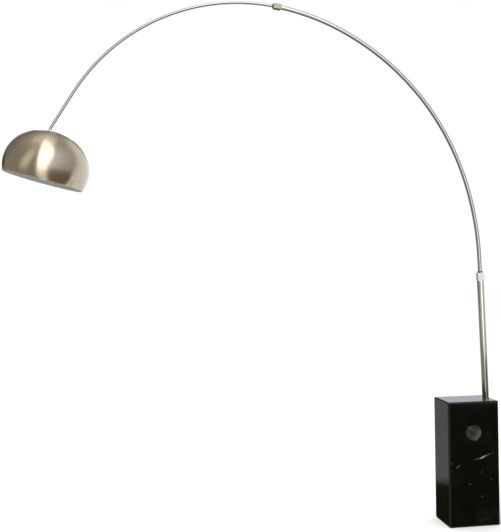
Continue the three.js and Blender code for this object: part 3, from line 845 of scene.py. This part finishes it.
@dataclass
class Arm:
    """The two arches and the collars that clamp them."""

    post_top: float = 0.529
    insertion: float = 0.249
    collar_along: float = 0.24
    overlap: float = 0.19
    mid_radius: float = 0.009
    mid_wall: float = 0.0015
    outer_radius: float = 0.006
    outer_wall: float = 0.0012
    collar_gap: float = 0.0005

    @staticmethod
    def screw_turn(axis: str, height: float) -> Matrix:
        """A screw hole's place: out towards +X, or out towards +Y."""
        angle, about = (math.pi / 2, "Y") if axis == "X" else (-math.pi / 2, "X")
        return Matrix.Translation((0, 0, height)) @ Matrix.Rotation(angle, 4, about)

    @staticmethod
    def wiper(name: str, body: str, outer: float, inner: float, bottom: float, length: float,
              placement: Matrix) -> None:
        """A rubber ring with rounded edges.

        Args:
            name: the piece's name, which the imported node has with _ring after it.
            body: the body that it rides on.
            outer: its outer radius.
            inner: its bore's radius.
            bottom: its lower end, in the placement's frame.
            length: its length.
            placement: where it stands.
        """
        bench = Bench(name)
        bench.point(inner, bottom)
        bench.lines((outer - inner, 0), (0, length), (inner - outer, 0), (0, -length))
        bench.revolve(72)
        bench.soften(min(0.0008, length / 6), 3)
        bench.finish(RUBBER, body, f"{name}_ring", placement)

    def build(self, arm: ArmLine) -> None:
        """Makes the arches, then the collars and wipers."""
        upper_at = arm.slide_start + self.collar_along
        lower_place = arm.frame_at(self.post_top)
        upper_place = arm.frame_at(upper_at)

        bench = Bench("mid_arch_tube")
        arm.tube(bench, self.mid_radius, self.post_top - self.insertion, upper_at)
        bench.wall(self.mid_wall)
        bench.finish(TUBE_STEEL, "mid_arm", "mid_arch")

        bench = Bench("outer_arch_tube")
        arm.tube(bench, self.outer_radius, upper_at - self.overlap, arm.length)
        bench.wall(self.outer_wall)
        bench.finish(TUBE_STEEL, "outer_arm", "outer_arch")

        mid_bore = self.mid_radius + self.collar_gap
        outer_bore = self.outer_radius + self.collar_gap
        ClampBlock(
            "lower_clamp_block", "lower_collar", "base", 0.029, 0.022, 0.0, 0.038,
            [(mid_bore, -0.04, 0.05)],
            [self.screw_turn("X", 0.01), self.screw_turn("X", 0.028)],
            spigot=(0.0127, 0.03)).build(lower_place)
        # The upper collar wears the collar metal darkened and warmed: painted shade.
        ClampBlock(
            "upper_clamp_block", "upper_collar", "mid_arm", 0.023, 0.022, -0.017, 0.017,
            [(mid_bore, -0.03, 0.0003), (outer_bore, -0.001, 0.03)],
            [self.screw_turn("Y", 0.0085), self.screw_turn("X", -0.0085)],
            screw_radius=0.0023, look=COLLAR_STEEL_PAINTED_SHADE).build(upper_place)
        self.wiper("lower_wiper", "base", 0.0115, self.mid_radius + 0.0003, 0.0383, 0.006, lower_place)
        self.wiper("upper_wiper", "mid_arm", 0.008, outer_bore, 0.0173, 0.005, upper_place)


@dataclass
class Head:
    """The vent cap on the arm's end, and the lamp holder and bulb under it."""

    bowl_crown: float = 0.192
    wall: float = 0.001
    cap_radius: float = 0.189
    opening_radius: float = 0.088
    lap: float = math.radians(11.7)
    hole_radius: float = 0.0065
    hole_pitch: float = 0.027
    row_radii: tuple[float, ...] = (0.024, 0.047, 0.07)
    gap: float = 0.0003
    bulb_radius: float = 0.04
    bulb_drop: float = 0.014
    bulb_length: float = 0.118
    bulb_neck: float = 0.016
    bulb_base: float = 0.025
    holder_radius: float = 0.02
    holder_length: float = 0.058
    holder_wall: float = 0.0018
    stem_hole: float = 0.0048

    @property
    def drilled(self) -> tuple[float, float]:
        """How low and how high a drill through the cap reaches."""
        return self.cap_radius - 0.006, self.cap_radius + 0.004

    @property
    def edge_angle(self) -> float:
        """The polar angle of the cap's edge."""
        return math.asin(self.opening_radius / self.bowl_crown) + self.lap

    def place(self, arm: ArmLine) -> Matrix:
        """The head's frame: its origin is the shade's centre and its Z is the cap's axis."""
        end, _ = arm.at(arm.length)
        reach = self.cap_radius + self.gap
        centre = end - reach * Vector((math.sin(CAP_TILT), 0, math.cos(CAP_TILT)))
        return Matrix.Translation(centre) @ Matrix.Rotation(CAP_TILT, 4, "Y")

    def vent_drills(self) -> bpy.types.Object:
        """All the vent holes' drills as one cutter: one is modelled and the rest are its copies."""
        drills = []
        for row, radius in enumerate(self.row_radii):
            count = round(2 * math.pi * radius / self.hole_pitch)
            for i in range(count):
                drill = cylinder(self.hole_radius, *self.drilled, 32)
                lean = Matrix.Rotation(math.asin(radius / self.cap_radius), 4, "Y")
                turn = Matrix.Rotation(2 * math.pi * (i + row / 2) / count, 4, "Z")
                drills.append(placed(drill, turn @ lean))
        for drill in drills:
            drill.select_set(True)
        bpy.context.view_layer.objects.active = drills[0]
        bpy.ops.object.join()
        return bpy.context.object

    def vent_cap(self, place: Matrix) -> None:
        """The perforated dome."""
        cutter = self.vent_drills()
        stem_drill = cylinder(self.stem_hole, *self.drilled)
        bench = Bench("vent_dome")
        bench.point(0, self.cap_radius)
        bench.arc(0, 0, -self.edge_angle, 20)
        bench.revolve(128)
        bench.wall(self.wall, CAP_METAL, ENAMEL)
        bench.drill(cutter)
        bench.drill(stem_drill)
        bench.soften(0.0003, 2, 50)
        bench.finish(CAP_METAL, "outer_arm", "vent_cap", place)

    def arm_end_collar(self, place: Matrix) -> None:
        """The small turned collar where the arm stands on the cap."""
        bottom = self.cap_radius + self.gap
        bench = Bench("arm_end_bead")
        bench.point(0.0063, bottom)
        bench.lines((0.0037, 0), (0, 0.0016), (-0.0018, 0.0034), (-0.0019, 0), (0, -0.005))
        bench.revolve(64)
        bench.soften(0.0004, 3)
        bench.finish(COLLAR_STEEL, "outer_arm", "arm_end_collar", place)

    def holder(self, place: Matrix) -> None:
        """The holder's cap and its ribbed skirt."""
        mouth = self.bulb_length - self.bulb_drop - self.bulb_base
        top = mouth + self.holder_length
        seam = top - 0.026
        wall = self.holder_wall
        inner_top = top - 0.010 - wall
        bench = Bench("holder_dome")
        bench.point(self.stem_hole, top)
        bench.lines((0.0052, 0))
        bench.arc(0.010, top - 0.010, -math.pi / 2, 10)
        bench.lines((0, seam + self.gap - (top - 0.010)), (-wall, 0), (0, inner_top - seam - self.gap))
        bench.arc(0.010, inner_top, math.pi / 2, 10)
        bench.lines((-0.0052, 0), (0, wall))
        bench.revolve(72)
        bench.finish(PHENOLIC, "outer_arm", "holder_cap", place)

        bench = Bench("holder_sleeve")
        ribs = 5
        pitch = (seam - mouth - 0.004) / ribs
        bench.point(self.holder_radius - wall, mouth)
        bench.lines((wall, 0), (0, 0.003))
        for _ in range(ribs):
            bench.lines((-0.0006, pitch * 0.3), (0, pitch * 0.2), (0.0006, pitch * 0.3), (0, pitch * 0.2))
        bench.lines((0, 0.001), (-wall, 0), (0, mouth - seam))
        bench.revolve(72)
        bench.soften(0.0002, 2)
        bench.finish(PHENOLIC, "outer_arm", "holder_skirt", place)

    def bulb(self, place: Matrix) -> None:
        """The opal globe and its threaded base."""
        centre = self.bulb_radius - self.bulb_drop
        tip = self.bulb_length - self.bulb_drop
        base_bottom = tip - self.bulb_base
        neck_angle = math.asin(self.bulb_neck / self.bulb_radius)
        shoulder = centre + self.bulb_radius * math.cos(neck_angle)
        bench = Bench("bulb_globe")
        bench.point(0, centre - self.bulb_radius)
        bench.arc(0, centre, math.pi - neck_angle, 40)
        slope = (base_bottom - 0.0065 - shoulder) * 0.5
        bench.lines((-0.003, slope), (-0.001, slope), (0, 0.0095))
        bench.revolve(96)
        bench.wall(0.001)
        bench.finish(OPAL, "outer_arm", "bulb_glass", place, 60.0)

        bench = Bench("bulb_thread")
        turns = 5
        pitch = 0.0034
        radius = 0.0132
        bench.point(radius - 0.0006, base_bottom)
        bench.lines((0.0006, 0), (0, 0.0015))
        for _ in range(turns):
            bench.lines((-0.0005, pitch * 0.25), (0, pitch * 0.25), (0.0005, pitch * 0.25),
                        (0, pitch * 0.25))
        bench.lines((-radius + 0.0045, tip - 0.003 - base_bottom - 0.0015 - turns * pitch),
                    (-0.0006, 0.003), (-0.0039, 0))
        bench.revolve(64)
        bench.soften(0.0002, 2, 20)
        bench.finish(BULB_METAL, "outer_arm", "bulb_base", place, 50.0)

    def build(self, arm: ArmLine) -> None:
        """Makes the cap, the bead, the holder and the bulb."""
        place = self.place(arm)
        self.vent_cap(place)
        self.arm_end_collar(place)
        self.holder(place)
        self.bulb(place)


@dataclass
class Shade:
    """The spun bowl and the thin ring that it glides on."""

    radius: float = 0.176
    crown_angle: float = math.radians(41.3)
    rim_drop: float = 0.0565
    glide_gap: float = 0.0008
    glide_wall: float = 0.0006
    glide_inset: float = math.radians(1)
    glide_width: float = math.radians(2.5)
    tilt: float = SHADE_LEAN
    lean: float = math.radians(1.3)

    def glide_ring(self, head: Head, place: Matrix) -> None:
        """The nylon ring between the cap and the bowl."""
        outer = head.bowl_crown - head.wall - self.glide_gap
        to = head.edge_angle - self.glide_inset
        start = to - self.glide_width
        bench = Bench("glide_band")
        bench.point(outer * math.sin(start), outer * math.cos(start))
        bench.arc(0, 0, start - to, 4)
        bench.revolve(128)
        bench.wall(self.glide_wall)
        bench.finish(NYLON, "shade_swivel", "glide_ring", place)

    def bowl(self, head: Head, place: Matrix) -> None:
        """The bowl: a crown and a rounder side, open at both ends."""
        crown = head.bowl_crown
        across = math.sin(self.crown_angle)
        side = (self.radius - crown * across) / (1 - across)
        side_x = self.radius - side
        side_z = (crown - side) * math.cos(self.crown_angle)
        opening = math.asin(head.opening_radius / crown)
        rim = math.pi / 2 + math.asin(self.rim_drop / side)
        turn = Matrix.Rotation(self.tilt - CAP_TILT, 4, "Y")
        lean = Matrix.Rotation(self.lean, 4, "X")
        bench = Bench("spun_bowl")
        bench.point(head.opening_radius, crown * math.cos(opening))
        bench.arc(0, 0, opening - self.crown_angle, 16)
        bench.arc(side_x, side_z, self.crown_angle - rim, 48)
        bench.revolve(192)
        # The bowl's lining is white lacquer darkened into painted shade for the inside of the bowl.
        bench.wall(head.wall, SHADE_METAL, LINING_PAINTED_SHADE)
        bench.soften(0.0003, 2, 50)
        bench.finish(SHADE_METAL, "shade", "shade_bowl", place @ lean @ turn)

    def build(self, arm: ArmLine, head: Head) -> None:
        """Makes the ring and the bowl."""
        place = head.place(arm)
        self.glide_ring(head, place)
        self.bowl(head, place)


# ---- Studio --------------------------------------------------------------------

WALLS = (
    (-180, 0.5), (-172, 0.46), (-144, 0.46), (-141, 0.29), (-60, 0.3), (-18, 0.27),
    (-12, 1.0), (8, 1.0), (12, 0.9), (22, 0.8), (36, 0.7), (50, 0.56), (84, 0.45),
    (90, 0.66), (104, 0.8), (150, 1.0), (180, 1.0),
)
WARM_BELOW = 0.46
WARM_LIGHT = (1.0, 0.93, 0.82)
COOL_LIGHT = (1.0, 1.03, 1.1)
DARK_GROUND = (0.03, 0.03, 0.015)
DIM_GROUND = (0.26, 0.23, 0.18)
FRONT_GROUND = (0.05, 0.055, 0.03)
GROUND = (
    (0.0, DARK_GROUND), (0.11, DARK_GROUND), (0.13, (0.5, 0.48, 0.44)), (0.19, (0.4, 0.38, 0.34)),
    (0.23, DIM_GROUND), (0.436, DIM_GROUND), (0.45, (1.0, 0.97, 0.92)), (0.51, (0.8, 0.76, 0.7)),
    (0.53, FRONT_GROUND), (0.6, FRONT_GROUND), (0.715, (0.12, 0.1, 0.07)),
    (0.735, (0.88, 0.89, 0.9)), (0.96, (0.85, 0.86, 0.87)), (0.975, (0.05, 0.045, 0.03)),
    (1.0, DARK_GROUND),
)
DARK_SIDE = (0.035, 0.028, 0.015)
WINDOW = (0.82, 0.78, 0.68)
STRIP = (1.0, 1.0, 1.0)
BEHIND = (0.2, 0.19, 0.2)
TIMBER = (0.21, 0.125, 0.045)
UPPER_WALL = (0.4, 0.38, 0.34)
CEILING = (0.85, 0.83, 0.78)
LAMP_MIDDLE = Vector((-0.8, 0, 1.0))


class Room:
    """What the metal and the polish mirror: walls, a window, a tall strip light and dark ground.

    A share says how far round the lamp a direction looks, from 0 behind it, past its arm's side,
    0.5 in front and its post's side, to 1 behind it again. A height is the direction's rise, from
    -1 straight down to 1 straight up.
    """

    def __init__(self, graph: Graph) -> None:
        """Reads the mirrored direction.

        Args:
            graph: the world's nodes.
        """
        self.graph = graph
        direction = graph.add("TexCoord").outputs["Generated"]
        parts = graph.add("SeparateXYZ", Vector=direction).outputs
        ahead = graph.product(parts[1], -1.0)
        bearing = graph.math("ARCTAN2", parts[0], ahead)
        self.share = graph.math("ADD", graph.math("DIVIDE", bearing, 2 * math.pi), 0.5)
        self.height = parts[2]
        self.rise = graph.math("MAXIMUM", self.height, 0.0)

    def leaning(self, slant: float) -> bpy.types.NodeSocket:
        """The share, for an edge that leans by so much as it rises."""
        return self.graph.math("SUBTRACT", self.share, self.graph.product(self.rise, slant))

    def bare_walls(self) -> bpy.types.NodeSocket:
        """The walls' colour by bearing, warm where dim and cool where bright."""
        stops = []
        for bearing, level in WALLS:
            light = WARM_LIGHT if level < WARM_BELOW else COOL_LIGHT
            stops.append(((bearing + 180) / 360, tuple(level * part for part in light)))
        return self.graph.ramp(self.leaning(0.08), stops)

    def strip(self) -> bpy.types.NodeSocket:
        """Where the tall strip light stands, a little wider at the top."""
        graph = self.graph
        return graph.product(graph.band(self.leaning(0.02), 0.446, 0.456),
                             graph.fall(self.leaning(0.11), 0.512, 0.53),
                             graph.band(self.height, -0.3, -0.06))

    def walls(self, strip: bpy.types.NodeSocket) -> bpy.types.NodeSocket:
        """The walls with a dark side, a window, the strip light and what stands behind."""
        graph = self.graph
        dark_side = graph.product(graph.fall(self.share, 0.13, 0.145),
                                  graph.band(self.height, 0.02, 0.12),
                                  graph.fall(self.height, 0.22, 0.42))
        walls = graph.mix(dark_side, self.bare_walls(), DARK_SIDE)
        aslant = self.leaning(0.1)
        window = graph.product(graph.band(aslant, 0.295, 0.33), graph.fall(aslant, 0.37, 0.39),
                               graph.band(self.height, -0.14, -0.04),
                               graph.fall(self.height, 0.6, 0.85))
        walls = graph.mix(window, walls, WINDOW)
        walls = graph.mix(strip, walls, STRIP)
        round_back = graph.math("MAXIMUM", graph.fall(self.share, 0.17, 0.21),
                                graph.band(self.share, 0.92, 0.95))
        behind = graph.product(round_back, graph.band(self.height, 0.22, 0.34))
        return graph.mix(behind, walls, BEHIND)

    def ground(self) -> bpy.types.NodeSocket:
        """The ground's colour by bearing, with timber in front, low down."""
        graph = self.graph
        timber = graph.product(graph.band(self.share, 0.51, 0.54), graph.fall(self.share, 0.62, 0.7),
                               graph.fall(self.height, -0.5, -0.38))
        return graph.mix(timber, graph.ramp(self.share, GROUND), TIMBER)

    def mirrored(self) -> tuple[bpy.types.NodeSocket, bpy.types.NodeSocket]:
        """Puts the room together.

        Returns:
            The room's colour and its power.
        """
        graph = self.graph
        strip = self.strip()
        horizon = graph.math("ADD", self.height, graph.band(self.share, 0.515, 0.535, 0.0, -0.097))
        colour = graph.mix(graph.band(horizon, -0.272, -0.258), self.ground(), self.walls(strip))
        open_to_strip = graph.math("SUBTRACT", 1.0, graph.product(strip, 0.7))
        top = graph.product(graph.band(self.height, 0.62, 0.92), open_to_strip)
        colour = graph.mix(top, colour, UPPER_WALL)
        colour = graph.mix(graph.band(self.height, 0.9, 0.97), colour, CEILING)
        return colour, graph.math("ADD", graph.product(strip, 1.5), 1.0)


@dataclass
class Studio:
    """The floor, the light and the camera."""

    camera_at: Vector = field(default_factory=lambda: Vector((-1.46542, -3.23025, 1.14634)))
    yaw: float = math.radians(-8.68405)
    pitch: float = math.radians(0.25366)
    roll: float = math.radians(-0.81707)
    lens: float = 51.22

    def camera(self) -> None:
        """Stands the camera where the lamp is seen from."""
        ahead = Vector((-math.sin(self.yaw), math.cos(self.yaw), 0))
        right = Vector((math.cos(self.yaw), math.sin(self.yaw), 0))
        up = Vector((0, 0, 1))
        forward = ahead * math.cos(self.pitch) + up * math.sin(self.pitch)
        top = up * math.cos(self.pitch) - ahead * math.sin(self.pitch)
        side = right * math.cos(self.roll) + top * math.sin(self.roll)
        top = top * math.cos(self.roll) - right * math.sin(self.roll)
        data = bpy.data.cameras.new("camera")
        data.lens = self.lens
        data.sensor_width = 36
        data.clip_end = 100
        camera = bpy.data.objects.new("camera", data)
        bpy.context.scene.collection.objects.link(camera)
        turn = Matrix((side, top, -forward)).transposed().to_4x4()
        camera.matrix_world = Matrix.Translation(self.camera_at) @ turn
        bpy.context.scene.camera = camera

    def floor(self) -> None:
        """A wide pale floor."""
        Bench("floor")
        bpy.ops.mesh.primitive_plane_add(size=60, location=(0, 0, -0.0005))
        floor = bpy.context.object
        floor.name = "floor"
        material = bpy.data.materials.new("pale_floor")
        material.use_nodes = True
        graph = Graph(material.node_tree)
        graph.surface(Base_Color=(0.995, 0.995, 0.995), Roughness=0.9, Specular_IOR_Level=0.0)
        floor.data.materials.append(material)
        floor.visible_glossy = False

    def softbox(self, name: str, place: tuple, size: float, power: float) -> None:
        """A square soft light that looks at the lamp's middle."""
        data = bpy.data.lights.new(name, "AREA")
        data.energy = power
        data.size = size
        light = bpy.data.objects.new(name, data)
        bpy.context.scene.collection.objects.link(light)
        aim = (LAMP_MIDDLE - Vector(place)).to_track_quat("-Z", "Y").to_matrix().to_4x4()
        light.matrix_world = Matrix.Translation(place) @ aim
        light.visible_glossy = False

    def room(self) -> None:
        """Sets up the world: even white to plain rays, and the room to what mirrors it."""
        world = bpy.data.worlds.new("studio")
        bpy.context.scene.world = world
        world.use_nodes = True
        graph = Graph(world.node_tree)
        colour, power = Room(graph).mirrored()
        plain = graph.add("Background", Color=(1.0, 1.0, 1.0), Strength=1.0)
        mirrored = graph.add("Background", Color=colour, Strength=power)
        share_of_gloss = graph.add("LightPath").outputs["Is Glossy Ray"]
        both = graph.add("MixShader", i0=share_of_gloss, i1=plain.outputs[0], i2=mirrored.outputs[0])
        graph.add("OutputWorld", Surface=both.outputs[0])

    def build(self) -> None:
        """Sets up the camera, the floor and the light."""
        bpy.context.scene.view_settings.view_transform = "Standard"
        self.camera()
        self.floor()
        self.room()
        self.softbox("key_light", (-3.2, -2.6, 3.6), 2.5, 110)


def main() -> None:
    """Builds the lamp, piece by piece, and the studio round it."""
    logging.basicConfig(level=logging.INFO, format="%(name)s: %(message)s")
    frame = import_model()
    Studio().build()
    arm = ArmLine()
    head = Head()
    StoneBase().build(arm)
    Post().build(arm)
    Arm().build(arm)
    head.build(arm)
    Shade().build(arm, head)
    dress(frame)


if __name__ == "__main__":
    main()
